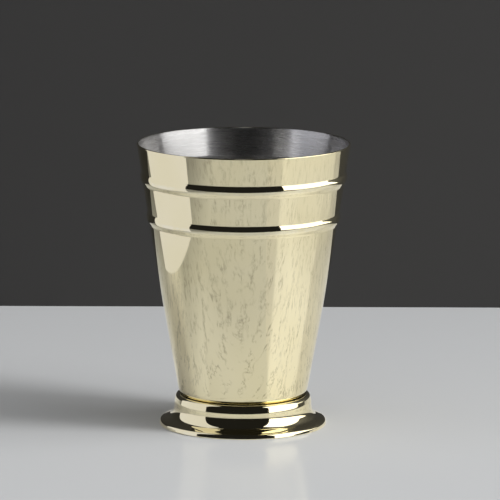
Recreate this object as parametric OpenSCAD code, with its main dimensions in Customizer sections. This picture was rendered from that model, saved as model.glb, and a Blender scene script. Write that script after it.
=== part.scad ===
// Footed julep cup.
// A deep-drawn tapered cup with two rolled beads is brazed on to the seat of a hollow pressed foot.
// Every piece is turned about Z. Outlines are drawn as [distance from the axis, height above the table].

/* [Cup] */
// Height of the lip above the table
cup_h = 112; // [95:1:140]
// Outside diameter of the lip
rim_d = 84; // [74:1:96]
// Outside diameter of the wall where it turns into the heel
heel_d = 51.4; // [44:0.2:58]
// Lean of the wall at the heel, in degrees from upright
heel_lean = 10.4; // [7:0.2:13]
// Outside radius of the heel, the round corner between wall and floor
heel_round = 6; // [4:0.5:9]
// Height of the cup's underside above the table
floor_h = 9.9; // [9:0.1:16]
// Thickness of the cup's sheet
wall_t = 0.8; // [0.5:0.1:1.2]

/* [Beads] */
// Number of rolled beads
bead_count = 2; // [0:1:3]
// Drop from the lip to the crease above the first bead
bead_drop = 11.1; // [4:0.1:25]
// Distance from one bead to the next
bead_pitch = 16; // [8:0.5:25]
// How far a bead stands out from the wall
bead_out = 0.75; // [0.3:0.05:1.5]
// Height of a bead above its crest
bead_top = 2.9; // [1.5:0.1:4]
// Height of a bead below its crest
bead_flank = 2.3; // [1.5:0.1:4]

/* [Foot] */
// Outside diameter of the foot
foot_d = 66; // [63:0.2:78]
// Thickness of the foot's sheet
foot_t = 0.8; // [0.5:0.1:1]
// How far the collar stands out beyond the cup's heel
collar_step = 1.4; // [0.8:0.1:2.5]
// Lean of the collar's side, in degrees from upright
collar_lean = 12; // [4:0.5:14]
// Inside radius of the bend from the collar down into the seat
bend_round = 0.6; // [0.3:0.1:1]
// Height above the table at which the collar's side turns upright
band_top = 9; // [8.2:0.1:9.3]
// Height of the upright band below the collar's side
band_h = 0.9; // [0.4:0.1:2]
// Height of the flange where the cove runs out on to it
flange_h = 3; // [2.5:0.05:4]
// Width of the sloping flange, from the cove to the foot's edge
flange_w = 3.6; // [2.8:0.1:4.5]
// Height of the corner where the flange turns down into the edge
edge_h = 1.7; // [1.5:0.05:2.1]
// Lean of the turned-down edge, in degrees from upright
edge_lean = 10; // [5:1:20]
// Radius of the corner between flange and edge
edge_round = 1.1; // [1.1:0.05:1.4]
// Height of the edge's upright tip
tip_h = 0.3; // [0.2:0.05:0.5]

/* [Seat] */
// Thickness of the braze between foot and cup
braze_t = 0.25; // [0.1:0.05:0.5]
// Width of the foot's flat seat under the cup
seat_w = 5.8; // [3:0.1:9]
// Width of the seat's inner margin that the braze leaves bare
braze_margin = 0.5; // [0.2:0.1:1.5]

/* [Hidden] */

// Facets round the axis
$fn = 180;

// Largest turn between two points of an arc, and of the lip's small one, in degrees
arc_turn = 10;
lip_turn = 22.5;

// Steps along the plain wall below and above a bead, and along a bead's two sides
long_steps = 8;
short_steps = 2;
bead_steps = 6;

// How far the cove's quarter round has turned where it meets the flange, in degrees
cove_turn = 77.8;

// Points of an arc about c, from angle a0 to angle a1
function arc(c, r, a0, a1, turn = arc_turn) =
    let (n = ceil(abs(a1 - a0) / turn))
    [for (i = [0:n]) let (a = a0 + (a1 - a0) * i / n) c + r * [cos(a), sin(a)]];

// A path without its last point, without both its ends, and backwards
function but_last(path) = [for (i = [0:len(path) - 2]) path[i]];
function between_ends(path) = [for (i = [1:len(path) - 2]) path[i]];
function reversed(path) = [for (i = [len(path) - 1:-1:0]) path[i]];

// Even steps from a to b, leaving out b
function steps(a, b, n) = [for (i = [0:n - 1]) a + (b - a) * i / n];

// Direction from one point to another, as a unit vector and as an angle
function heading(from, to) = (to - from) / norm(to - from);
function bearing(from, to) = atan2(to.y - from.y, to.x - from.x);

// Arc of radius r that rounds the corner at b, between straight runs from a and on to c
function corner(a, b, c, r) =
    let (u = heading(b, a), v = heading(b, c), half = acos(u * v) / 2,
         middle = b + r / sin(half) * (u + v) / norm(u + v))
    arc(middle, r, bearing(middle, b + r / tan(half) * u), bearing(middle, b + r / tan(half) * v));

// Centre of a circle of radius r inside the line through p with unit direction u and its outside normal n,
// touching from outside the circle of radius r1 about c1
function touching(p, u, n, r, c1, r1) =
    let (start = p - r * n, off = start - c1)
    start - (off * u + sqrt(pow(off * u, 2) - off * off + pow(r + r1, 2))) * u;

// The same path moved sideways by t, to the right of its direction
function beside(path, t) =
    let (last = len(path) - 1)
    [for (i = [0:last])
        let (a = heading(path[max(i - 1, 0)], path[max(i, 1)]),
             b = heading(path[min(i, last - 1)], path[min(i + 1, last)]),
             m = (a + b) / norm(a + b))
        path[i] + [m.y, -m.x] * t / (m * b)];

// The heel: a round corner whose upper end is tangent to the wall
heel_end = [heel_d / 2, floor_h + heel_round * (1 - sin(heel_lean))];
heel_c = heel_end - heel_round * [cos(heel_lean), -sin(heel_lean)];

// The lip: a full round on the sheet's edge, tangent to the wall on both sides
rim_r = rim_d / 2;
lip_round = wall_t / 2;
lip_c = [rim_r - lip_round, cup_h - lip_round];
lip_lean = atan(2 * (lip_c.x - heel_end.x) / (lip_c.y - heel_end.y) - tan(heel_lean));
wall_top = lip_c + lip_round * [cos(lip_lean), -sin(lip_lean)];

// The wall: a slow curve from the heel, with the heel's lean, to the lip
wall_rise = wall_top.y - heel_end.y;
wall_bow = (heel_end.x + tan(heel_lean) * wall_rise - wall_top.x) / (wall_rise * wall_rise);
function wall_r(z) =
    let (up = z - heel_end.y)
    heel_end.x + tan(heel_lean) * up - wall_bow * up * up;

// A bead: a rounded top that springs from a crease, and a flank that dies into the wall
function crease_z(bead) = cup_h - bead_drop - bead * bead_pitch;
function crest_z(bead) = crease_z(bead) - bead_top;
function bead_low(bead) = crest_z(bead) - bead_flank;
function swell(up) = up < 0 ? (1 + cos(180 * up / bead_flank)) / 2 : 1 - pow(up / bead_top, 2);
function bead_r(z, bead) = wall_r(z) + bead_out * swell(z - crest_z(bead));
function bead_points(bead) =
    [for (z = concat(steps(bead_low(bead), crest_z(bead), bead_steps),
                     steps(crest_z(bead), crease_z(bead), bead_steps)))
        [bead_r(z, bead), z]];

// Plain wall from height a up to height b, leaving out b
function plain_points(a, b, n) = [for (z = steps(a, b, n)) [wall_r(z), z]];
function above_bead(bead) = bead == 0 ? wall_top.y : bead_low(bead - 1);
first_stop = bead_count == 0 ? wall_top.y : bead_low(bead_count - 1);
wall_outline = concat(
    plain_points(heel_end.y, first_stop, long_steps),
    [for (bead = [bead_count - 1:-1:0])
        each concat(bead_points(bead), plain_points(crease_z(bead), above_bead(bead), short_steps))],
    [wall_top]);

// The foot's upper face follows the cup's heel at the thickness of the braze
seat_z = floor_h - braze_t;
seat_c = heel_c;
seat_round = heel_round + braze_t;
seat_in = [seat_c.x - seat_w, seat_z];

// The collar: its side leans back above an upright band and bends over into the seat
band_in = [heel_end.x + collar_step, band_top];
side_up = [-sin(collar_lean), cos(collar_lean)];
side_out = [cos(collar_lean), sin(collar_lean)];
lip_bend = bend_round + foot_t;
bend_c = touching(band_in, side_up, side_out, lip_bend, seat_c, seat_round);

// The flange: it slopes down to the turned-down edge, whose upright tip stands on the table
foot_r = foot_d / 2;
flange_in = [foot_r - flange_w, flange_h];
edge_corner = [foot_r - (edge_h - tip_h) * tan(edge_lean), edge_h];
tip = [foot_r, tip_h];

// The cove: a quarter round drawn out between the band and the flange
cove_top = [band_in.x, band_top - band_h];
cove_span = [flange_in.x - cove_top.x, cove_top.y - flange_in.y];
cove_count = ceil(cove_turn / arc_turn);
cove_points = [for (i = [0:cove_count - 1])
    let (a = cove_turn * i / cove_count)
    cove_top + [cove_span.x * (1 - cos(a)) / (1 - cos(cove_turn)), -cove_span.y * sin(a) / sin(cove_turn)]];

foot_outline = concat(
    [seat_in],
    but_last(arc(seat_c, seat_round, -90, bearing(seat_c, bend_c))),
    arc(bend_c, lip_bend, bearing(bend_c, seat_c), collar_lean),
    [band_in],
    cove_points,
    [flange_in],
    corner(flange_in, edge_corner, tip, edge_round),
    [tip, [foot_r, 0]]);

// Deep-drawn cup, open at the top
module cup_body() {
    outer = concat(but_last(arc(heel_c, heel_round, -90, -heel_lean)), wall_outline);
    inner = reversed(beside(outer, -wall_t));
    lip = between_ends(arc(lip_c, lip_round, -lip_lean, 180 - lip_lean, lip_turn));
    color("#E3D6A4")
        rotate_extrude()
            polygon(concat([[0, floor_h]], outer, lip, inner, [[0, floor_h + wall_t]]));
}

// Hollow foot, one sheet from the seat under the cup to the cut edge on the table
module foot() {
    color("#DCCB92")
        rotate_extrude()
            polygon(concat(foot_outline, reversed(beside(foot_outline, foot_t))));
}

// Filler metal between the foot's seat and the cup's underside
module braze_ring() {
    braze_in = seat_in.x + braze_margin;
    color("#C9C3B4")
        translate([0, 0, seat_z])
            rotate_extrude()
                translate([braze_in, 0])
                    square([seat_c.x - braze_in, braze_t]);
}

cup_body();
foot();
braze_ring();
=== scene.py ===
"""Footed julep cup: the dressed model, its studio and its camera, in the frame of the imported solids.

The cup, its foot and the braze between them are turned about Z. Their outlines follow the same named sizes
as the solids do, with finer arcs and small rounds where sheet metal has them. Sizes of the object are in
millimetres and are turned into metres where a mesh is made. Sizes of the studio are in metres.
"""
import logging
import math
from dataclasses import dataclass, field
from enum import Enum

import bpy
from mathutils import Matrix, Vector


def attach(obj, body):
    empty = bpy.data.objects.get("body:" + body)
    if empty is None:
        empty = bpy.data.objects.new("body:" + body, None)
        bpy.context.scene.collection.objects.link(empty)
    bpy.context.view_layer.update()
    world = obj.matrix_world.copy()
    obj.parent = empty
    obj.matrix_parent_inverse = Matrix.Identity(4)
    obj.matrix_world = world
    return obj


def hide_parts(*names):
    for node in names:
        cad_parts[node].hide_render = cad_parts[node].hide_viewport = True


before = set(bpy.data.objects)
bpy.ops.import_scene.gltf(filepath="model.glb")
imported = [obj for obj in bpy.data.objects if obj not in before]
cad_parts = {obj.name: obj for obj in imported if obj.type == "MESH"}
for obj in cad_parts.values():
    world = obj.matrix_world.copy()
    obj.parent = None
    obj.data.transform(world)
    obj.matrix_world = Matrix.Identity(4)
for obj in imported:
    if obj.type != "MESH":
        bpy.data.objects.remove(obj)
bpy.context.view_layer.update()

LOG = logging.getLogger("julep_cup")
MM = 0.001

# Points of an outline that are closer than this, in millimetres, are one
SAME_POINT = 0.001

# A Mix node's sockets for colours: two go in and one comes out
COLOURS_IN = (6, 7)
COLOUR_OUT = 2

Point = tuple[float, float]
Place = tuple[float, float, float]
Colour = tuple[float, float, float]
Socket = bpy.types.NodeSocket
Number = Socket | float
Tint = Socket | Colour


# Outlines: paths of (distance from the axis, height), in millimetres


def arc(centre: Point, radius: float, start: float, end: float, turn: float = 3.0) -> list[Point]:
    """Gives points along an arc.

    Args:
        centre: Middle of the arc.
        radius: Its radius.
        start: Angle of the first point, in degrees.
        end: Angle of the last point, in degrees.
        turn: Most that the arc turns between two points, in degrees.

    Returns:
        The points, both ends among them.
    """
    count = max(1, math.ceil(abs(end - start) / turn))
    angles = [math.radians(start + (end - start) * i / count) for i in range(count + 1)]
    return [(centre[0] + radius * math.cos(a), centre[1] + radius * math.sin(a)) for a in angles]


def bearing(start: Point, end: Point) -> float:
    """Gives the angle of the line from start to end, in degrees."""
    return math.degrees(math.atan2(end[1] - start[1], end[0] - start[0]))


def joined(*paths: list[Point]) -> list[Point]:
    """Joins paths end to end and drops points that lie on the one before.

    Args:
        paths: The paths, in order.

    Returns:
        The joined path.
    """
    points: list[Point] = []
    for point in (p for path in paths for p in path):
        if not points or math.dist(points[-1], point) > SAME_POINT:
            points.append(point)
    return points


def graded(
    start: float, end: float, fine: float = 0.07, coarse: float = 3.0, growth: float = 1.7
) -> list[float]:
    """Divides a stretch so that the steps are short at both ends, where smooth shading meets a tighter curve.

    Args:
        start: Where the stretch starts.
        end: Where it ends.
        fine: Length of the first and last step.
        coarse: Most that a step measures.
        growth: How many times as long as the step before it a step is.

    Returns:
        The places along the stretch, both ends among them.
    """
    half = abs(end - start) / 2
    way = math.copysign(1.0, end - start)
    gone, step, places = 0.0, fine, [0.0]
    while gone + step < half:
        gone += step
        places.append(gone)
        step = min(step * growth, coarse)
    return [start + way * p for p in places] + [end - way * p for p in reversed(places)]


def straight(start: Point, end: Point) -> list[Point]:
    """Gives graded points along a straight line.

    Args:
        start: Where the line starts.
        end: Where it ends.

    Returns:
        The points, both ends among them.
    """
    length = math.dist(start, end)
    shares = [place / length for place in graded(0.0, length)]
    return [(start[0] + (end[0] - start[0]) * s, start[1] + (end[1] - start[1]) * s) for s in shares]


def rounded(path: list[Point], corner: int, radius: float, steps: int = 5, most: float = 0.45) -> list[Point]:
    """Rounds one corner of a path.

    Args:
        path: The path.
        corner: Index of the corner's point.
        radius: Radius of the round.
        steps: Number of short lines in the round.
        most: Most that the round takes of either line, as a share of it.

    Returns:
        The path with the corner's point replaced by the points of the round.
    """
    before, at, after = (Vector(path[i]) for i in (corner - 1, corner, corner + 1))
    back, on = (before - at).normalized(), (after - at).normalized()
    half = math.acos(max(-1.0, min(1.0, back.dot(on)))) / 2
    reach = min(radius / math.tan(half), most * (before - at).length, most * (after - at).length)
    first, last = at + back * reach, at + on * reach
    curve = []
    for i in range(steps + 1):
        t = i / steps
        curve.append(tuple(first * (1 - t) ** 2 + at * 2 * t * (1 - t) + last * t**2))
    return path[:corner] + curve + path[corner + 1 :]


def nearest(path: list[Point], place: Point) -> int:
    """Gives the index of the path's point nearest to a place."""
    return min(range(len(path)), key=lambda i: math.dist(path[i], place))


def turned_over(path: list[Point], corner: int, radius: float, turn: float = 6.0) -> list[Point]:
    """Rounds a corner between two straight runs, whatever points lie along them.

    Args:
        path: The path, with the corner's point neither first nor last.
        corner: Index of the corner's point.
        radius: Radius of the round.
        turn: Most that the round turns between two points, in degrees.

    Returns:
        The path with the corner and the points close to it replaced by the points of the round.
    """
    at = Vector(path[corner])
    back = (Vector(path[corner - 1]) - at).normalized()
    on = (Vector(path[corner + 1]) - at).normalized()
    half = math.acos(max(-1.0, min(1.0, back.dot(on)))) / 2
    reach = radius / math.tan(half)
    centre = at + (back + on).normalized() * radius / math.sin(half)
    first, last = at + back * reach, at + on * reach
    start, end = bearing(tuple(centre), tuple(first)), bearing(tuple(centre), tuple(last))
    end = start + (end - start + 180) % 360 - 180
    before, after = corner - 1, corner + 1
    while before > 0 and math.dist(path[before], at) <= reach:
        before -= 1
    while after < len(path) - 1 and math.dist(path[after], at) <= reach:
        after += 1
    return joined(path[: before + 1], arc(tuple(centre), radius, start, end, turn), path[after:])


def away_from(path: list[Point], place: Point) -> float:
    """Measures how far a place lies from a path.

    Args:
        path: The path.
        place: The place.

    Returns:
        The least distance between them.
    """
    least = math.inf
    at = Vector(place)
    for start, end in zip(map(Vector, path), map(Vector, path[1:])):
        run = end - start
        share = max(0.0, min(1.0, (at - start).dot(run) / run.dot(run)))
        least = min(least, (at - start - run * share).length)
    return least


def beside(path: list[Point], gap: float) -> list[Point]:
    """Moves a path sideways.

    Args:
        path: The path.
        gap: Distance to the right of the path's direction.

    Returns:
        The moved path, with as many points.
    """
    moved = []
    last = len(path) - 1
    for i, point in enumerate(path):
        here = Vector(path[max(i, 1)]) - Vector(path[max(i - 1, 0)])
        there = Vector(path[min(i + 1, last)]) - Vector(path[min(i, last - 1)])
        here.normalize()
        there.normalize()
        middle = (here + there).normalized()
        reach = gap / middle.dot(here)
        moved.append((point[0] + middle.y * reach, point[1] - middle.x * reach))
    return moved


# Finishes


class Layer(Enum):
    """Where a finish lies on a turned sheet."""

    OUTSIDE = 0
    INSIDE = 1
    HIDDEN = 2


class Surface:
    """Builds one node material step by step."""

    def __init__(self, name: str) -> None:
        """Starts an empty material.

        Args:
            name: Its name.
        """
        self.material = bpy.data.materials.new(name)
        self.material.use_nodes = True
        self.tree = self.material.node_tree
        self.tree.nodes.clear()

    def node(self, kind: str, **settings: object) -> bpy.types.Node:
        """Adds a node.

        Args:
            kind: Its Blender type name, without ShaderNode.
            settings: Values for the node's own properties.

        Returns:
            The new node.
        """
        made = self.tree.nodes.new("ShaderNode" + kind)
        for key, value in settings.items():
            setattr(made, key, value)
        return made

    def feed(self, socket: Socket, value: Number | Tint) -> None:
        """Links a socket to another, or sets its value.

        Args:
            socket: The socket that takes the value.
            value: Another socket, or a number or colour.
        """
        if isinstance(value, Socket):
            self.tree.links.new(value, socket)
        else:
            socket.default_value = value

    def maths(self, how: str, *values: Number) -> Socket:
        """Works out a number.

        Args:
            how: Name of the Math operation.
            values: Its numbers or sockets.

        Returns:
            The socket with the result.
        """
        made = self.node("Math", operation=how)
        for socket, value in zip(made.inputs, values):
            self.feed(socket, value)
        return made.outputs[0]

    def plus(self, first: Number, second: Number) -> Socket:
        """Adds two numbers."""
        return self.maths("ADD", first, second)

    def times(self, first: Number, second: Number) -> Socket:
        """Multiplies two numbers."""
        return self.maths("MULTIPLY", first, second)

    def ramp(self, value: Number, low: float, high: float, start: float = 0.0, end: float = 1.0) -> Socket:
        """Maps a number from one range smoothly on to another.

        Args:
            value: The number.
            low: Where the first range starts.
            high: Where it ends.
            start: What low becomes.
            end: What high becomes.

        Returns:
            The socket with the result.
        """
        made = self.node("MapRange", interpolation_type="SMOOTHSTEP")
        names = ("Value", "From Min", "From Max", "To Min", "To Max")
        for name, number in zip(names, (value, low, high, start, end)):
            self.feed(made.inputs[name], number)
        return made.outputs["Result"]

    def blend(self, share: Number, first: Tint, second: Tint) -> Socket:
        """Mixes two colours.

        Args:
            share: Share of the second colour.
            first: The first colour or its socket.
            second: The second colour or its socket.

        Returns:
            The socket with the result.
        """
        made = self.node("Mix", data_type="RGBA")
        self.feed(made.inputs[0], share)
        for index, value in zip(COLOURS_IN, (first, second)):
            self.feed(made.inputs[index], value if isinstance(value, Socket) else (*value, 1.0))
        return made.outputs[COLOUR_OUT]

    def mixed(self, share: Number, first: bpy.types.Node, second: bpy.types.Node) -> Socket:
        """Mixes two shaders.

        Args:
            share: Share of the second shader.
            first: The first shader's node.
            second: The second shader's node.

        Returns:
            The socket with the mixed shader.
        """
        made = self.node("MixShader")
        for socket, value in zip(made.inputs, (share, first.outputs[0], second.outputs[0])):
            self.feed(socket, value)
        return made.outputs[0]

    def place(self) -> Socket:
        """Gives the place on the object, in metres."""
        return self.node("TexCoord").outputs["Object"]

    def parts(self, vector: Socket) -> tuple[Socket, Socket, Socket]:
        """Takes a vector apart.

        Args:
            vector: The socket with the vector.

        Returns:
            The sockets with its three numbers.
        """
        made = self.node("SeparateXYZ")
        self.feed(made.inputs[0], vector)
        return tuple(made.outputs)

    def vector(self, *numbers: Number) -> Socket:
        """Puts up to three numbers together as a vector.

        Args:
            numbers: Its numbers or sockets; a missing one is zero.

        Returns:
            The socket with the vector.
        """
        made = self.node("CombineXYZ")
        for socket, value in zip(made.inputs, numbers):
            self.feed(socket, value)
        return made.outputs[0]

    def value_of(self, name: str) -> Socket:
        """Gives the mesh's own number of that name."""
        return self.node("Attribute", attribute_type="GEOMETRY", attribute_name=name).outputs["Fac"]

    def turned_place(self, around: float) -> Socket:
        """Gives a place in which the marks of turning lie flat.

        Args:
            around: How fast the pattern changes round the axis.

        Returns:
            The socket with the direction from the axis, and the run along the outline in millimetres as its
            third part.
        """
        x, y, _ = self.parts(self.place())
        turned = self.node("VectorMath", operation="NORMALIZE")
        self.feed(turned.inputs[0], self.vector(x, y))
        scaled = self.node("VectorMath", operation="SCALE")
        self.feed(scaled.inputs[0], turned.outputs[0])
        self.feed(scaled.inputs["Scale"], around)
        x, y, _ = self.parts(scaled.outputs[0])
        return self.vector(x, y, self.value_of("run"))

    def bumps(self, *layers: tuple[Socket, float]) -> Socket:
        """Stacks bumps.

        Args:
            layers: Pairs of a height from 0 to 1 and the depth that 1 stands for, in metres.

        Returns:
            The socket with the bent normal.
        """
        normal = None
        for height, depth in layers:
            made = self.node("Bump")
            made.inputs["Strength"].default_value = 1.0
            made.inputs["Distance"].default_value = depth
            self.feed(made.inputs["Height"], height)
            if normal is not None:
                self.feed(made.inputs["Normal"], normal)
            normal = made.outputs["Normal"]
        return normal

    def metal(self, colour: Socket, roughness: Socket, normal: Socket) -> bpy.types.Node:
        """Adds a metal shader.

        Args:
            colour: Its colour.
            roughness: Its roughness.
            normal: Its bent normal.

        Returns:
            The shader's node.
        """
        made = self.node("BsdfPrincipled")
        made.inputs["Metallic"].default_value = 1.0
        for name, value in (("Base Color", colour), ("Roughness", roughness), ("Normal", normal)):
            self.feed(made.inputs[name], value)
        return made

    def finish(self, shader: Socket) -> bpy.types.Material:
        """Ends the material with that shader and gives it back."""
        self.feed(self.node("OutputMaterial").inputs["Surface"], shader)
        return self.material


@dataclass(frozen=True)
class Clouds:
    """A cloudy pattern: clouds per unit of place, finer layers, their strength, and the levels of an edge."""

    scale: float
    detail: float = 3.0
    strength: float = 0.5
    low: float = 0.3
    high: float = 0.7

    def number(self, s: Surface, place: Socket) -> Socket:
        """Gives the pattern as a number round a half.

        Args:
            s: The material that it belongs to.
            place: Where the pattern is read.

        Returns:
            The socket with the number.
        """
        made = s.node("TexNoise")
        names = ("Vector", "Scale", "Detail", "Roughness")
        for name, value in zip(names, (place, self.scale, self.detail, self.strength)):
            s.feed(made.inputs[name], value)
        return made.outputs["Fac"]

    def edge(self, s: Surface, number: Socket, start: float = 0.0, end: float = 1.0) -> Socket:
        """Turns the number into a share: start between the clouds and end inside them."""
        return s.ramp(number, self.low, self.high, start, end)

    def share(self, s: Surface, place: Socket, start: float = 0.0, end: float = 1.0) -> Socket:
        """Gives the share at a place: start between the clouds and end inside them."""
        return self.edge(s, self.number(s, place), start, end)


@dataclass(frozen=True)
class GoldPlate:
    """Pale gold plate over steel, from mirror-polished to as plated; depths of bumps are in metres."""

    name: str = "gold_plate"
    colour: Colour = (0.90, 0.82, 0.565)
    deep: Colour = (0.87, 0.785, 0.51)
    worn: Colour = (0.92, 0.89, 0.76)
    tones: Clouds = Clouds(28.0)
    roughness: float = 0.035
    smudge: float = 0.03
    smudges: Clouds = Clouds(75.0, 5.0, 0.62, 0.48, 0.78)
    lines: float = 0.012
    around: float = 3.0
    hairs: Clouds = Clouds(2.6, 4.0, 0.7, 0.42, 0.75)
    hair_depth: float = 1.2e-7
    wave: Clouds = Clouds(22.0, 1.0)
    wave_depth: float = 1.2e-5
    grain: Clouds = Clouds(240.0, 2.0)
    grain_depth: float = 2.5e-7
    wear: Clouds = Clouds(260.0, 4.0, 0.5, 0.38, 0.66)
    least_wear: float = 0.25
    worn_share: float = 0.75
    worn_rough: float = 0.05

    def material(self) -> bpy.types.Material:
        """Makes the finish as a node material.

        Returns:
            The material.
        """
        s = Surface(self.name)
        place = s.place()
        hair = self.hairs.number(s, s.turned_place(self.around))
        wear = s.times(s.value_of("wear"), self.wear.share(s, place, self.least_wear))
        tone = s.blend(self.tones.share(s, place), self.colour, self.deep)
        colour = s.blend(s.times(wear, self.worn_share), tone, self.worn)
        smudges = s.times(self.smudges.share(s, place), self.smudge)
        rough = s.plus(self.roughness, smudges)
        rough = s.plus(rough, s.times(self.hairs.edge(s, hair), self.lines))
        rough = s.plus(rough, s.times(wear, self.worn_rough))
        wave, grain = self.wave.number(s, place), self.grain.number(s, place)
        normal = s.bumps((wave, self.wave_depth), (grain, self.grain_depth), (hair, self.hair_depth))
        return s.finish(s.metal(colour, rough, normal).outputs[0])


def as_plated(name: str) -> bpy.types.Material:
    """Makes the plate where it was never polished."""
    return GoldPlate(name, roughness=0.24, smudge=0.1, lines=0.06).material()


@dataclass(frozen=True)
class BrushedSteel:
    """Bare stainless steel, brushed round the axis; depths of bumps are in metres."""

    name: str = "brushed_steel"
    colour: Colour = (0.74, 0.73, 0.72)
    dark: Colour = (0.62, 0.61, 0.60)
    around: float = 1.5
    tones: Clouds = Clouds(5.5, 6.0, 0.75, 0.3, 0.72)
    roughness: float = 0.22
    grooves: Clouds = Clouds(5.5, 6.0, 0.75, 0.3, 0.75)
    groove_rough: float = 0.10
    groove_depth: float = 6e-7
    bands: Clouds = Clouds(0.8, 3.0, 0.6, 0.35, 0.7)
    band_rough: float = 0.05
    stretch: float = 1.0
    stretch_turn: float = 0.25

    def material(self) -> bpy.types.Material:
        """Makes the finish as a node material.

        Returns:
            The material.
        """
        s = Surface(self.name)
        turned = s.turned_place(self.around)
        lines = self.grooves.number(s, turned)
        colour = s.blend(self.tones.edge(s, lines), self.colour, self.dark)
        grooves = s.times(self.grooves.edge(s, lines), self.groove_rough)
        rough = s.plus(self.roughness, grooves)
        rough = s.plus(rough, s.times(self.bands.share(s, turned), self.band_rough))
        shader = s.metal(colour, rough, s.bumps((lines, self.groove_depth)))
        shader.inputs["Anisotropic"].default_value = self.stretch
        shader.inputs["Anisotropic Rotation"].default_value = self.stretch_turn
        s.feed(shader.inputs["Tangent"], s.node("Tangent", direction_type="RADIAL", axis="Z").outputs[0])
        return s.finish(shader.outputs[0])


@dataclass(frozen=True)
class BareBraze:
    """Dull silver filler metal, as it ran; depths of bumps are in metres."""

    name: str = "braze"
    colour: Colour = (0.80, 0.75, 0.60)
    dull: Colour = (0.55, 0.47, 0.33)
    tones: Clouds = Clouds(120.0, 4.0, 0.5, 0.35, 0.7)
    patches: Clouds = Clouds(120.0, 4.0, 0.5, 0.3, 0.75)
    smooth: float = 0.32
    rough: float = 0.55
    ripples: Clouds = Clouds(300.0)
    ripple_depth: float = 3e-5

    def material(self) -> bpy.types.Material:
        """Makes the finish as a node material.

        Returns:
            The material.
        """
        s = Surface(self.name)
        place = s.place()
        clouds = self.patches.number(s, place)
        colour = s.blend(self.tones.edge(s, clouds), self.colour, self.dull)
        rough = self.patches.edge(s, clouds, self.smooth, self.rough)
        normal = s.bumps((self.ripples.number(s, place), self.ripple_depth))
        return s.finish(s.metal(colour, rough, normal).outputs[0])


# Turned sheets


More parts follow.
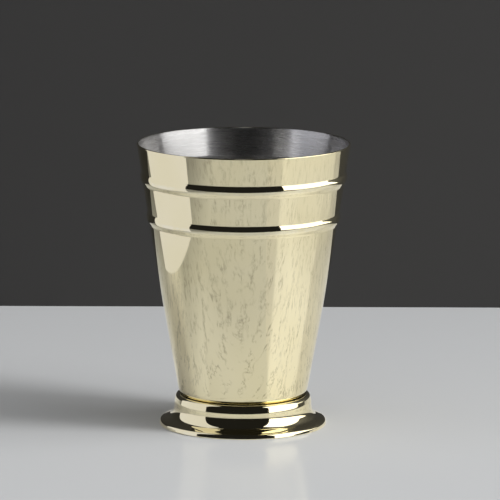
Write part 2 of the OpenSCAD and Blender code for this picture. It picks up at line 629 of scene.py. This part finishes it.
@dataclass
class TurnedSheet:
    """A piece that is turned about Z from one closed outline."""

    node: str
    slot: str
    segments: int = 288

    def outline(self) -> list[Point]:
        """Gives the closed outline, against the clock; a piece's own class holds it."""
        raise NotImplementedError

    def layer(self, point: Point) -> Layer:
        """Says which finish the sheet has at a point of its outline."""
        return Layer.OUTSIDE

    def worn(self, point: Point) -> float:
        """Says how much handling has worn the plate at a point, from 0 to 1."""
        return 0.0

    def finishes(self) -> dict[Layer, bpy.types.Material]:
        """Gives the material of each layer that the piece has."""
        raise NotImplementedError

    def build(self) -> bpy.types.Object:
        """Makes the piece, puts it in the scene and lets it stand for its solid.

        Returns:
            The new object.
        """
        outline = self.outline()
        mesh = self.turn(outline)
        piece = bpy.data.objects.new(self.node + "_dressed", mesh)
        bpy.context.scene.collection.objects.link(piece)
        finishes = self.finishes()
        order = list(finishes)
        for layer in order:
            mesh.materials.append(finishes[layer])
        around = self.segments
        for number, span in enumerate(self.spans(outline)):
            wanted = order.index(self.layer(self.middle(outline, span)))
            for polygon in mesh.polygons[number * around : (number + 1) * around]:
                polygon.material_index = wanted
        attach(piece, "root")
        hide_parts(self.node)
        return piece

    @staticmethod
    def middle(outline: list[Point], index: int) -> Point:
        """Gives the middle of one line of the closed outline."""
        a, b = outline[index], outline[(index + 1) % len(outline)]
        return ((a[0] + b[0]) / 2, (a[1] + b[1]) / 2)

    @staticmethod
    def spans(outline: list[Point]) -> list[int]:
        """Lists the lines of the closed outline that sweep a band, leaving out one along the axis."""
        count = len(outline)
        return [i for i in range(count) if outline[i][0] > 0 or outline[(i + 1) % count][0] > 0]

    def rings(self, outline: list[Point]) -> tuple[list[Place], list[int]]:
        """Sweeps each point of the outline round the axis.

        Args:
            outline: The closed outline, in millimetres.

        Returns:
            The swept points in metres, a point on the axis once, and where each ring starts among them.
        """
        angles = [2 * math.pi * k / self.segments for k in range(self.segments)]
        turns = [(math.cos(a), math.sin(a)) for a in angles]
        points: list[Place] = []
        first: list[int] = []
        for radius, height in outline:
            first.append(len(points))
            ring = turns if radius > 0 else turns[:1]
            points += [(radius * c * MM, radius * s * MM, height * MM) for c, s in ring]
        return points, first

    def bands(
        self, outline: list[Point], first: list[int], shares: list[float]
    ) -> tuple[list[tuple[int, ...]], list[Point]]:
        """Fills the bands between neighbouring rings.

        Args:
            outline: The closed outline.
            first: Where each ring starts among the swept points.
            shares: How far along the outline each ring lies, from 0 to 1.

        Returns:
            The faces, and the place of each of their corners on the flat picture of the surface.
        """
        around = self.segments
        faces: list[tuple[int, ...]] = []
        places: list[Point] = []
        for i in self.spans(outline):
            j = (i + 1) % len(outline)
            for k in range(around):
                n = (k + 1) % around
                left, middle, right = (step / around for step in (k, k + 0.5, k + 1))
                low = [(first[i] + k, left), (first[i] + n, right)]
                high = [(first[j] + n, right), (first[j] + k, left)]
                if outline[i][0] == 0:
                    low = [(first[i], middle)]
                if outline[j][0] == 0:
                    high = [(first[j], middle)]
                faces.append(tuple(corner for corner, _ in low + high))
                places += [(across, shares[i]) for _, across in low]
                places += [(across, shares[i + 1]) for _, across in high]
        return faces, places

    def turn(self, outline: list[Point]) -> bpy.types.Mesh:
        """Turns the outline about Z.

        Args:
            outline: The closed outline, in millimetres.

        Returns:
            A closed mesh in metres, with its run along the outline and its wear as numbers of its points.
        """
        runs = [0.0]
        for i in range(len(outline)):
            runs.append(runs[-1] + math.dist(outline[i], outline[(i + 1) % len(outline)]))
        points, first = self.rings(outline)
        faces, places = self.bands(outline, first, [run / runs[-1] for run in runs])
        mesh = bpy.data.meshes.new(self.node + "_dressed")
        mesh.from_pydata(points, [], faces)
        sizes = [self.segments if radius > 0 else 1 for radius, _ in outline]
        for name, values in (("run", runs), ("wear", [self.worn(point) for point in outline])):
            numbers = [value for value, size in zip(values, sizes) for _ in range(size)]
            mesh.attributes.new(name, "FLOAT", "POINT").data.foreach_set("value", numbers)
        layer = mesh.uv_layers.new(name="OFBake")
        layer.data.foreach_set("uv", [number for place in places for number in place])
        mesh.shade_smooth()
        mesh.update()
        return mesh


@dataclass
class CupBody(TurnedSheet):
    """The deep-drawn cup: floor, heel, tapered wall, two rolled beads and lip."""

    node: str = "cup_body"
    slot: str = "gold_plate"
    height: float = 112.0
    rim_d: float = 84.0
    heel_d: float = 51.4
    heel_lean: float = 10.4
    heel_round: float = 6.0
    floor_h: float = 9.9
    wall_t: float = 0.8
    bead_count: int = 2
    bead_drop: float = 11.1
    bead_pitch: float = 16.0
    bead_out: float = 0.75
    bead_top: float = 2.9
    bead_flank: float = 2.3
    flank_steps: int = 14
    top_steps: int = 16
    crease_round: float = 0.3
    step: float = 0.5
    lip_turn: float = 10.0
    lip_plate: float = 0.3
    lip_wear: float = 0.35
    proud_wear: float = 0.75
    proud_gain: float = 2.0
    most_wear: float = 0.6

    def __post_init__(self) -> None:
        """Works out the heel, the lip and the wall's slow curve between them."""
        lean = math.radians(self.heel_lean)
        self.heel_end = (self.heel_d / 2, self.floor_h + self.heel_round * (1 - math.sin(lean)))
        x, z = self.heel_end
        self.heel_c = (x - self.heel_round * math.cos(lean), z + self.heel_round * math.sin(lean))
        lip_round = self.wall_t / 2
        self.lip_c = (self.rim_d / 2 - lip_round, self.height - lip_round)
        run, rise = self.lip_c[0] - self.heel_end[0], self.lip_c[1] - self.heel_end[1]
        self.lip_lean = math.degrees(math.atan(2 * run / rise - math.tan(lean)))
        lip = math.radians(self.lip_lean)
        self.wall_top = (self.lip_c[0] + lip_round * math.cos(lip), self.lip_c[1] - lip_round * math.sin(lip))
        rise = self.wall_top[1] - self.heel_end[1]
        self.bow = (self.heel_end[0] + math.tan(lean) * rise - self.wall_top[0]) / rise**2
        self.face = self.outside()

    def wall(self, height: float) -> float:
        """Gives the plain wall's outside radius at a height."""
        up = height - self.heel_end[1]
        return self.heel_end[0] + math.tan(math.radians(self.heel_lean)) * up - self.bow * up**2

    def plain(self, low: float, high: float) -> list[Point]:
        """Gives points up the plain wall between two heights."""
        return [(self.wall(z), z) for z in graded(low, high)]

    def bead(self, number: int) -> list[Point]:
        """Gives points up one bead, from its flank to its crease.

        Args:
            number: Which bead, counted from the lip.

        Returns:
            The points, both ends among them.
        """
        crest = self.height - self.bead_drop - number * self.bead_pitch - self.bead_top
        flank = [-self.bead_flank * (1 - i / self.flank_steps) for i in range(self.flank_steps)]
        top = [self.bead_top * i / self.top_steps for i in range(self.top_steps + 1)]
        swells = [(up, (1 + math.cos(math.pi * up / self.bead_flank)) / 2) for up in flank]
        swells += [(up, 1 - (up / self.bead_top) ** 2) for up in top]
        return [(self.wall(crest + up) + self.bead_out * swell, crest + up) for up, swell in swells]

    def outside(self) -> list[Point]:
        """Gives the outer face's path.

        Returns:
            The path from the heel to the lip.
        """
        path = arc(self.heel_c, self.heel_round, -90, -self.heel_lean)
        low = self.heel_end[1]
        for number in reversed(range(self.bead_count)):
            bead = self.bead(number)
            path = joined(path, self.plain(low, bead[0][1]), bead)
            corner = len(path) - 1
            low = bead[-1][1] + self.step
            path = joined(path, [(self.wall(low), low)])
            path = rounded(path, corner, self.crease_round)
        return joined(path, self.plain(low, self.wall_top[1]))

    def outline(self) -> list[Point]:
        """Gives the cup's closed outline.

        Returns:
            The outer face, the lip and the inner face, with the floor's two middles.
        """
        inside = list(reversed(beside(self.face, -self.wall_t)))
        lip = arc(self.lip_c, self.wall_t / 2, -self.lip_lean, 180 - self.lip_lean, self.lip_turn)
        return joined([(0.0, self.floor_h)], self.face, lip, inside, [(0.0, self.floor_h + self.wall_t)])

    def layer(self, point: Point) -> Layer:
        """Says which finish lies at a point: plate outside, bare steel inside, and rough plate underneath.

        Args:
            point: A point of the outline.

        Returns:
            The finish's layer.
        """
        radius, height = point
        if radius < self.heel_c[0] and height < self.floor_h + self.wall_t / 2:
            return Layer.HIDDEN
        if height > self.lip_c[1]:
            return Layer.OUTSIDE if radius > self.lip_c[0] - self.wall_t * self.lip_plate else Layer.INSIDE
        return Layer.OUTSIDE if away_from(self.face, point) < self.wall_t / 2 else Layer.INSIDE

    def worn(self, point: Point) -> float:
        """Says how worn the plate is: most on the lip, less on the beads' crests.

        Args:
            point: A point of the outline.

        Returns:
            The wear, from 0 to 1.
        """
        radius, height = point
        lip = max(0.0, 1.0 - (self.height - height) / self.lip_wear)
        proud = max(0.0, (radius - self.wall(height)) / self.bead_out - self.proud_wear)
        return max(lip, min(self.most_wear, proud * self.proud_gain))

    def finishes(self) -> dict[Layer, bpy.types.Material]:
        """Gives the plate outside, the steel inside and the rough plate underneath."""
        outside, inside = GoldPlate().material(), BrushedSteel().material()
        return {Layer.OUTSIDE: outside, Layer.INSIDE: inside, Layer.HIDDEN: as_plated("gold_plate_under_cup")}


@dataclass
class Foot(TurnedSheet):
    """The hollow pressed foot: seat, collar, cove, sloping flange and turned-down edge."""

    cup: CupBody = field(default_factory=CupBody)
    node: str = "foot"
    slot: str = "foot_plate"
    foot_d: float = 66.0
    foot_t: float = 0.8
    collar_step: float = 1.4
    collar_lean: float = 12.0
    bend_round: float = 0.6
    bend_turn: float = 5.0
    band_top: float = 9.0
    band_h: float = 0.9
    band_round: float = 4.0
    flange_h: float = 3.0
    flange_w: float = 3.6
    edge_h: float = 1.7
    edge_lean: float = 10.0
    edge_round: float = 1.1
    edge_wear: float = 0.8
    tip_h: float = 0.3
    braze_t: float = 0.25
    seat_w: float = 5.8
    cove_turn: float = 77.8
    cove_steps: int = 30
    sheared: float = 0.15
    sheared_points: int = 6

    def __post_init__(self) -> None:
        """Works out where the bend, the cove and the edge's corner lie."""
        self.seat_z = self.cup.floor_h - self.braze_t
        self.seat_c = self.cup.heel_c
        self.seat_round = self.cup.heel_round + self.braze_t
        self.seat_in = (self.seat_c[0] - self.seat_w, self.seat_z)
        self.lip_bend = self.bend_round + self.foot_t
        self.band_in = (self.cup.heel_end[0] + self.collar_step, self.band_top)
        lean = math.radians(self.collar_lean)
        side = Vector((-math.sin(lean), math.cos(lean)))
        outwards = Vector((math.cos(lean), math.sin(lean)))
        start = Vector(self.band_in) - self.lip_bend * outwards
        off = start - Vector(self.seat_c)
        reach = self.seat_round + self.lip_bend
        along = -off.dot(side) - math.sqrt(off.dot(side) ** 2 - off.dot(off) + reach**2)
        self.bend_c = tuple(start + along * side)
        self.side_top = tuple(Vector(self.bend_c) + self.lip_bend * outwards)
        self.cove_in = (self.band_in[0], self.band_top - self.band_h)
        self.flange_in = (self.foot_d / 2 - self.flange_w, self.flange_h)
        drop = self.edge_h - self.tip_h
        self.corner = (self.foot_d / 2 - drop * math.tan(math.radians(self.edge_lean)), self.edge_h)
        self.tip = (self.foot_d / 2, self.tip_h)
        self.face = self.skeleton()

    def cove(self) -> list[Point]:
        """Gives the hollow between the band and the flange, a quarter round drawn out downwards.

        Returns:
            The hollow's points, both ends among them.
        """
        run, drop = self.flange_in[0] - self.cove_in[0], self.cove_in[1] - self.flange_in[1]
        last = math.radians(self.cove_turn)
        turns = [last * i / self.cove_steps for i in range(self.cove_steps + 1)]
        across, down = run / (1 - math.cos(last)), drop / math.sin(last)
        left, top = self.cove_in
        return [(left + across * (1 - math.cos(a)), top - down * math.sin(a)) for a in turns]

    def skeleton(self) -> list[Point]:
        """Gives the outer face's path with its corners at the band and the edge still sharp.

        Returns:
            The path from the seat to the table.
        """
        out, back = bearing(self.seat_c, self.bend_c), bearing(self.bend_c, self.seat_c)
        return joined(
            straight(self.seat_in, (self.seat_c[0], self.seat_z)),
            arc(self.seat_c, self.seat_round, -90, out),
            arc(self.bend_c, self.lip_bend, back, self.collar_lean, self.bend_turn),
            straight(self.side_top, self.band_in),
            straight(self.band_in, self.cove_in),
            self.cove(),
            straight(self.flange_in, self.corner),
            straight(self.corner, self.tip),
            straight(self.tip, (self.tip[0], 0.0)),
        )

    def outside(self) -> list[Point]:
        """Gives the outer face's path with its corners rounded.

        Returns:
            The path from the seat to the table.
        """
        path = self.face
        corners = ((self.tip, self.tip_h), (self.corner, self.edge_round), (self.band_in, self.band_round))
        for corner, radius in corners:
            path = turned_over(path, nearest(path, corner), radius)
        return path

    def outline(self) -> list[Point]:
        """Gives the foot's closed outline, with the sheet's two sheared ends broken a little.

        Returns:
            The inner face and the outer face, against the clock.
        """
        path = self.outside() + list(reversed(beside(self.face, self.foot_t)))
        for corner in (path[0], (self.tip[0], 0.0), (self.tip[0] - self.foot_t, 0.0), path[-1]):
            # The closed path is started a few points before the corner, so that both its sides are there
            start = nearest(path, corner) - self.sheared_points
            path = turned_over(path[start:] + path[:start], self.sheared_points, self.sheared)
        return list(reversed(path))

    def layer(self, point: Point) -> Layer:
        """Says which finish lies at a point: polished where it can be seen, and as plated in the hollow.

        Args:
            point: A point of the outline.

        Returns:
            The finish's layer.
        """
        radius, height = point
        if height < self.seat_z + self.braze_t and radius < self.bend_c[0]:
            return Layer.HIDDEN
        near = away_from(self.face, point)
        return Layer.OUTSIDE if near < self.foot_t / 2 and height > self.sheared / 2 else Layer.HIDDEN

    def worn(self, point: Point) -> float:
        """Says how worn the plate is: along the turned-down edge, where the foot is set down."""
        radius, height = point
        return self.edge_wear * max(0.0, 1.0 - height / self.edge_h) if radius > self.corner[0] else 0.0

    def finishes(self) -> dict[Layer, bpy.types.Material]:
        """Gives the polished plate and the plate of the hollow."""
        outside = GoldPlate("foot_plate").material()
        return {Layer.OUTSIDE: outside, Layer.HIDDEN: as_plated("foot_plate_under")}


@dataclass
class BrazeRing(TurnedSheet):
    """The filler metal between the foot's seat and the cup's underside."""

    foot: Foot = field(default_factory=Foot)
    node: str = "braze_ring"
    slot: str = "braze"
    margin: float = 0.5
    hollow: float = 0.09
    steps: int = 8

    def outline(self) -> list[Point]:
        """Gives the ring's closed outline, with its inner side hollow as a wetted fillet is.

        Returns:
            The outer side and the inner side, against the clock.
        """
        inner, outer = self.foot.seat_in[0] + self.margin, self.foot.seat_c[0]
        low, high = self.foot.seat_z, self.foot.seat_z + self.foot.braze_t
        shares = [i / self.steps for i in range(self.steps + 1)]
        side = [(inner + self.hollow * math.sin(math.pi * s), high - (high - low) * s) for s in shares]
        return joined([(outer, low), (outer, high)], side)

    def finishes(self) -> dict[Layer, bpy.types.Material]:
        """Gives the bare braze."""
        return {Layer.OUTSIDE: BareBraze().material()}


# The table and the wall


def panel(name: str, corners: tuple[Place, ...], material: bpy.types.Material) -> bpy.types.Object:
    """Makes one flat panel of the set.

    Args:
        name: Its name.
        corners: Its corners, in order round it.
        material: Its material.

    Returns:
        The new object.
    """
    mesh = bpy.data.meshes.new(name)
    mesh.from_pydata(corners, [], [tuple(range(len(corners)))])
    mesh.materials.append(material)
    made = bpy.data.objects.new(name, mesh)
    bpy.context.scene.collection.objects.link(made)
    return made


@dataclass(frozen=True)
class Veins:
    """Broken veins: how many there are per metre along each axis, and how many gaps per metre break them."""

    stretch: Place
    gaps: float
    grain: Clouds = Clouds(1.0, 5.0, 0.6)
    width: float = 0.02
    gap_low: float = 0.45
    gap_high: float = 0.6

    def share(self, s: Surface) -> Socket:
        """Draws the veins.

        Args:
            s: The material that they belong to.

        Returns:
            The socket with 1 on a vein and 0 beside it.
        """
        stretched = s.node("Mapping")
        s.feed(stretched.inputs["Vector"], s.place())
        stretched.inputs["Scale"].default_value = self.stretch
        off = s.maths("ABSOLUTE", s.maths("SUBTRACT", self.grain.number(s, stretched.outputs[0]), 0.5))
        whole = Clouds(self.gaps, 2.0, 0.5, self.gap_low, self.gap_high).share(s, s.place())
        return s.times(s.ramp(off, 0.0, self.width, 1.0, 0.0), whole)


@dataclass(frozen=True)
class Fade:
    """A smooth change across the table: its direction seen from above, its two ends and its value at each."""

    along: Point
    low: float
    high: float
    start: float = 0.0
    end: float = 1.0

    def value(self, s: Surface) -> Socket:
        """Gives the change's value at each place on the table.

        Args:
            s: The material that it belongs to.

        Returns:
            The socket with the value.
        """
        x, y, _ = s.parts(s.place())
        way = s.plus(s.times(x, self.along[0]), s.times(y, self.along[1]))
        return s.ramp(way, self.low, self.high, self.start, self.end)


@dataclass(frozen=True)
class PaleTable:
    """The table top: plain where the camera sees it. In mirrors it shows faint veins and a paler colour, with
    soft zones of painted light and painted shade.
    """

    name: str = "pale_table"
    colour: Colour = (0.62, 0.63, 0.64)
    # Painted light: in mirrors the table is paler than the camera sees it
    painted_mirror_light_colour: Colour = (0.765, 0.775, 0.785)
    # Painted light: the mirrored table's colour in the painted pool of light
    painted_pool_colour: Colour = (0.83, 0.83, 0.83)
    # Painted shade: the colour that the mirrored table is darkened towards
    painted_shade_colour: Colour = (0.0, 0.0, 0.0)
    # Painted light: the colour of the painted lit patch
    painted_lit_colour: Colour = (1.0, 1.0, 1.0)
    vein_colour: Colour = (0.16, 0.15, 0.14)
    vein_share: float = 0.6
    broad: Veins = Veins((14.0, 46.0, 1.0), 30.0)
    fine: Veins = Veins((34.0, 90.0, 3.0), 55.0)
    # Painted light: the line across the table beyond which the mirrored table is paler, as a pool of light
    pale: Fade = Fade((0.927, 0.375), 0.0135, 0.0175)
    # Painted shade: where the mirrored table is darker, and by what share
    shades: tuple[Fade, ...] = (
        Fade((1.0, 0.0), -0.29, -0.07, 0.62, 0.0),
        Fade((1.0, 0.0), 0.12, 0.22, 0.0, 0.20),
        Fade((0.0, 1.0), -0.13, -0.06, 0.13, 0.0),
    )
    # Painted light: the lit patch on the left of the cup, seen only in mirrors, where all of these are high
    lights: tuple[Fade, ...] = (
        Fade((0.0, 1.0), -0.03, 0.02),
        Fade((1.0, 0.0), -0.06, -0.03, 1.0, 0.0),
        Fade((0.0, 1.0), 0.055, 0.11, 1.0, 0.0),
    )
    polish: float = 0.12
    polish_roughness: float = 0.16

    def material(self) -> bpy.types.Material:
        """Makes the finish as a node material.

        Returns:
            The material.
        """
        s = Surface(self.name)
        mirrored = s.node("LightPath").outputs["Is Glossy Ray"]
        vein = s.maths("MAXIMUM", self.broad.share(s), self.fine.share(s))
        vein = s.times(s.times(vein, mirrored), self.vein_share)
        # Painted light: the table is paler in mirrors, and paler again beyond the line of the painted pool of
        # light
        in_mirrors = s.blend(self.pale.value(s), self.painted_mirror_light_colour, self.painted_pool_colour)
        colour = s.blend(mirrored, self.colour, in_mirrors)
        shade, lit = 0.0, mirrored
        # Painted shade: darker zones of the table, seen only in mirrors
        for fade in self.shades:
            shade = s.maths("MAXIMUM", shade, fade.value(s))
        # Painted light: the lit patch beside the cup, seen only in mirrors
        for fade in self.lights:
            lit = s.times(lit, fade.value(s))
        colour = s.blend(s.times(shade, mirrored), colour, self.painted_shade_colour)
        colour = s.blend(lit, colour, self.painted_lit_colour)
        dull, gloss = s.node("BsdfDiffuse"), s.node("BsdfAnisotropic")
        s.feed(dull.inputs["Color"], s.blend(vein, colour, self.vein_colour))
        gloss.inputs["Roughness"].default_value = self.polish_roughness
        return s.finish(s.mixed(self.polish, dull, gloss))


@dataclass(frozen=True)
class DarkWall:
    """The wall's finish: dark and dull, and clear to a camera behind it."""

    name: str = "dark_wall"
    colour: Colour = (0.028, 0.027, 0.026)
    roughness: float = 0.6

    def material(self) -> bpy.types.Material:
        """Makes the finish as a node material.

        Returns:
            The material.
        """
        s = Surface(self.name)
        shader = s.node("BsdfPrincipled")
        shader.inputs["Base Color"].default_value = (*self.colour, 1.0)
        shader.inputs["Roughness"].default_value = self.roughness
        behind = s.node("NewGeometry").outputs["Backfacing"]
        seen = s.node("LightPath").outputs["Is Camera Ray"]
        return s.finish(s.mixed(s.times(behind, seen), shader, s.node("BsdfTransparent")))


# Lights


def upright(ends: tuple[Point, Point], heights: tuple[float, float]) -> tuple[Place, ...]:
    """Gives the corners of an upright rectangle from its two ends, seen from above, and its two heights."""
    (first, last), (low, high) = ends, heights
    return ((*first, low), (*last, low), (*last, high), (*first, high))


@dataclass(frozen=True)
class Card:
    """A bright card that shows only in mirrors; its glow is 1 for white, and fades in mirrors close to it."""

    name: str
    corners: tuple[Place, ...]
    glow: Colour
    near: float = 0.08
    far: float = 0.135

    def build(self) -> None:
        """Stands the card up; it lights nothing dull and casts no shadow."""
        s = Surface(self.name)
        path = s.node("LightPath")
        shader = s.node("Emission")
        shader.inputs["Color"].default_value = (*self.glow, 1.0)
        s.feed(shader.inputs["Strength"], s.ramp(path.outputs["Ray Length"], self.near, self.far))
        mixed = s.mixed(path.outputs["Is Camera Ray"], shader, s.node("BsdfTransparent"))
        made = panel(self.name, self.corners, s.finish(mixed))
        made.visible_diffuse = made.visible_shadow = False


class LampShape(Enum):
    """Shape of a lamp's face, by Blender's names."""

    DISK = "DISK"
    RECTANGLE = "RECTANGLE"


@dataclass(frozen=True)
class Lamp:
    """A soft lamp with a flat face, which no camera sees; a level of 1 makes its face white."""

    name: str
    shape: LampShape
    wide: float
    high: float
    place: Place
    away: Place
    level: float
    in_mirrors: bool = False

    def area(self) -> float:
        """Gives the area of the lamp's face."""
        return self.wide * self.high * (math.pi / 4 if self.shape is LampShape.DISK else 1.0)

    def build(self) -> None:
        """Puts the lamp at its place, with its back to the direction away."""
        data = bpy.data.lights.new(self.name, "AREA")
        data.shape = self.shape.value
        data.size = self.wide
        data.size_y = self.high
        data.energy = self.level * math.pi * self.area()
        made = bpy.data.objects.new(self.name, data)
        made.location = self.place
        made.rotation_euler = Vector(self.away).to_track_quat("Z", "Y").to_euler()
        made.visible_camera = False
        made.visible_glossy = self.in_mirrors
        bpy.context.scene.collection.objects.link(made)


@dataclass(frozen=True)
class Room:
    """The room's own light: faint where it is seen, and an even soft fill for dull surfaces."""

    seen: float = 0.013
    fill: float = 0.57

    def build(self) -> None:
        """Makes the room as the scene's world."""
        world = bpy.data.worlds.new("studio")
        world.use_nodes = True
        nodes, link = world.node_tree.nodes, world.node_tree.links.new
        nodes.clear()
        path, level = nodes.new("ShaderNodeLightPath"), nodes.new("ShaderNodeMapRange")
        back, out = nodes.new("ShaderNodeBackground"), nodes.new("ShaderNodeOutputWorld")
        level.inputs["To Min"].default_value = self.seen
        level.inputs["To Max"].default_value = self.fill
        back.inputs["Color"].default_value = (1.0, 1.0, 1.0, 1.0)
        link(path.outputs["Is Diffuse Ray"], level.inputs["Value"])
        link(level.outputs[0], back.inputs["Strength"])
        link(back.outputs[0], out.inputs["Surface"])
        bpy.context.scene.world = world


@dataclass(frozen=True)
class Studio:
    """A plain pale table before a plain dark wall, with bright cards for the metal to mirror.

    The cards light only mirrors. The table's light is from two lamps far off on the right and from the fill.
    """

    half_width: float = 0.9
    table_front: float = -0.40
    table_z: float = -0.00005
    wall_y: float = 0.245
    wall_low: float = -0.05
    wall_high: float = 1.2
    lights: tuple[Card | Lamp, ...] = (
        Card("card_right", upright(((0.626, -0.648), (0.781, 0.235)), (0.045, 1.2)), (2.1,) * 3),
        Lamp("lamp_soft", LampShape.RECTANGLE, 3.38, 4.62, (2.752, -0.921, 2.49), (0.989, -0.147, 0.0), 2.1),
        Card("card_left", upright(((-0.18, -0.101), (-0.18, 0.104)), (0.0005, 0.4)), (0.774, 0.782, 0.853)),
        Card("card_rear", ((0.781, 0.235, 0.045), (0.34, 0.235, 0.045), (0.781, 0.235, 0.2)), (2.1,) * 3),
        Card("card_high", upright(((0.64, -0.66), (0.80, 0.24)), (0.62, 1.2)), (1.2,) * 3),
        Lamp("lamp_top", LampShape.DISK, 0.16, 0.16, (0.0, 0.0, 1.0), (0.0, 0.0, 1.0), 1.5, True),
        Lamp("lamp_key", LampShape.DISK, 1.44, 1.44, (3.76, -1.36, 2.88), (3.76, -1.36, 2.88), 24.627),
    )

    def build(self) -> None:
        """Makes the table, the wall, the lights and the room."""
        right, front, back, z = self.half_width, self.table_front, self.wall_y, self.table_z
        floor = ((-right, front, z), (right, front, z), (right, back, z), (-right, back, z))
        panel("floor", floor, PaleTable().material())
        wall = upright(((-right, back), (right, back)), (self.wall_low, self.wall_high))
        panel("back_wall", wall, DarkWall().material())
        for light in self.lights:
            light.build()
        Room().build()


@dataclass(frozen=True)
class PhotographCamera:
    """The camera at the photograph's place: far off, with a long lens, looking slightly down."""

    away: float = 1.750
    height: float = 0.3791
    aside: float = 0.0026
    pitch: float = 10.04
    roll: float = 0.20
    lens: float = 325.16
    sensor: float = 36.0
    clip_near: float = 0.1
    clip_far: float = 30.0

    def build(self) -> bpy.types.Object:
        """Makes the camera and hands it to the scene.

        Returns:
            The camera.
        """
        data = bpy.data.cameras.new("camera")
        data.lens = self.lens
        data.sensor_width = self.sensor
        data.clip_start = self.clip_near
        data.clip_end = self.clip_far
        made = bpy.data.objects.new("camera", data)
        down = Matrix.Rotation(math.radians(90 - self.pitch), 4, "X")
        tilt = Matrix.Rotation(math.radians(self.roll), 4, "Z")
        made.matrix_world = Matrix.Translation((self.aside, -self.away, self.height)) @ down @ tilt
        bpy.context.scene.collection.objects.link(made)
        bpy.context.scene.camera = made
        return made


def main() -> None:
    """Builds the cup, its foot and the braze, then the studio and the camera."""
    logging.basicConfig(level=logging.INFO, format="%(name)s: %(message)s")
    cup = CupBody()
    foot = Foot(cup=cup)
    for sheet in (cup, foot, BrazeRing(foot=foot)):
        piece = sheet.build()
        LOG.info("%s: %d faces", piece.name, len(piece.data.polygons))
    studio = Studio()
    studio.build()
    LOG.info("studio: table, wall and %d lights", len(studio.lights))
    camera = PhotographCamera().build()
    LOG.info("%s: %.3f m from the cup's axis", camera.name, camera.location.xy.length)
    bpy.context.scene.view_settings.view_transform = "Standard"


if __name__ == "__main__":
    main()
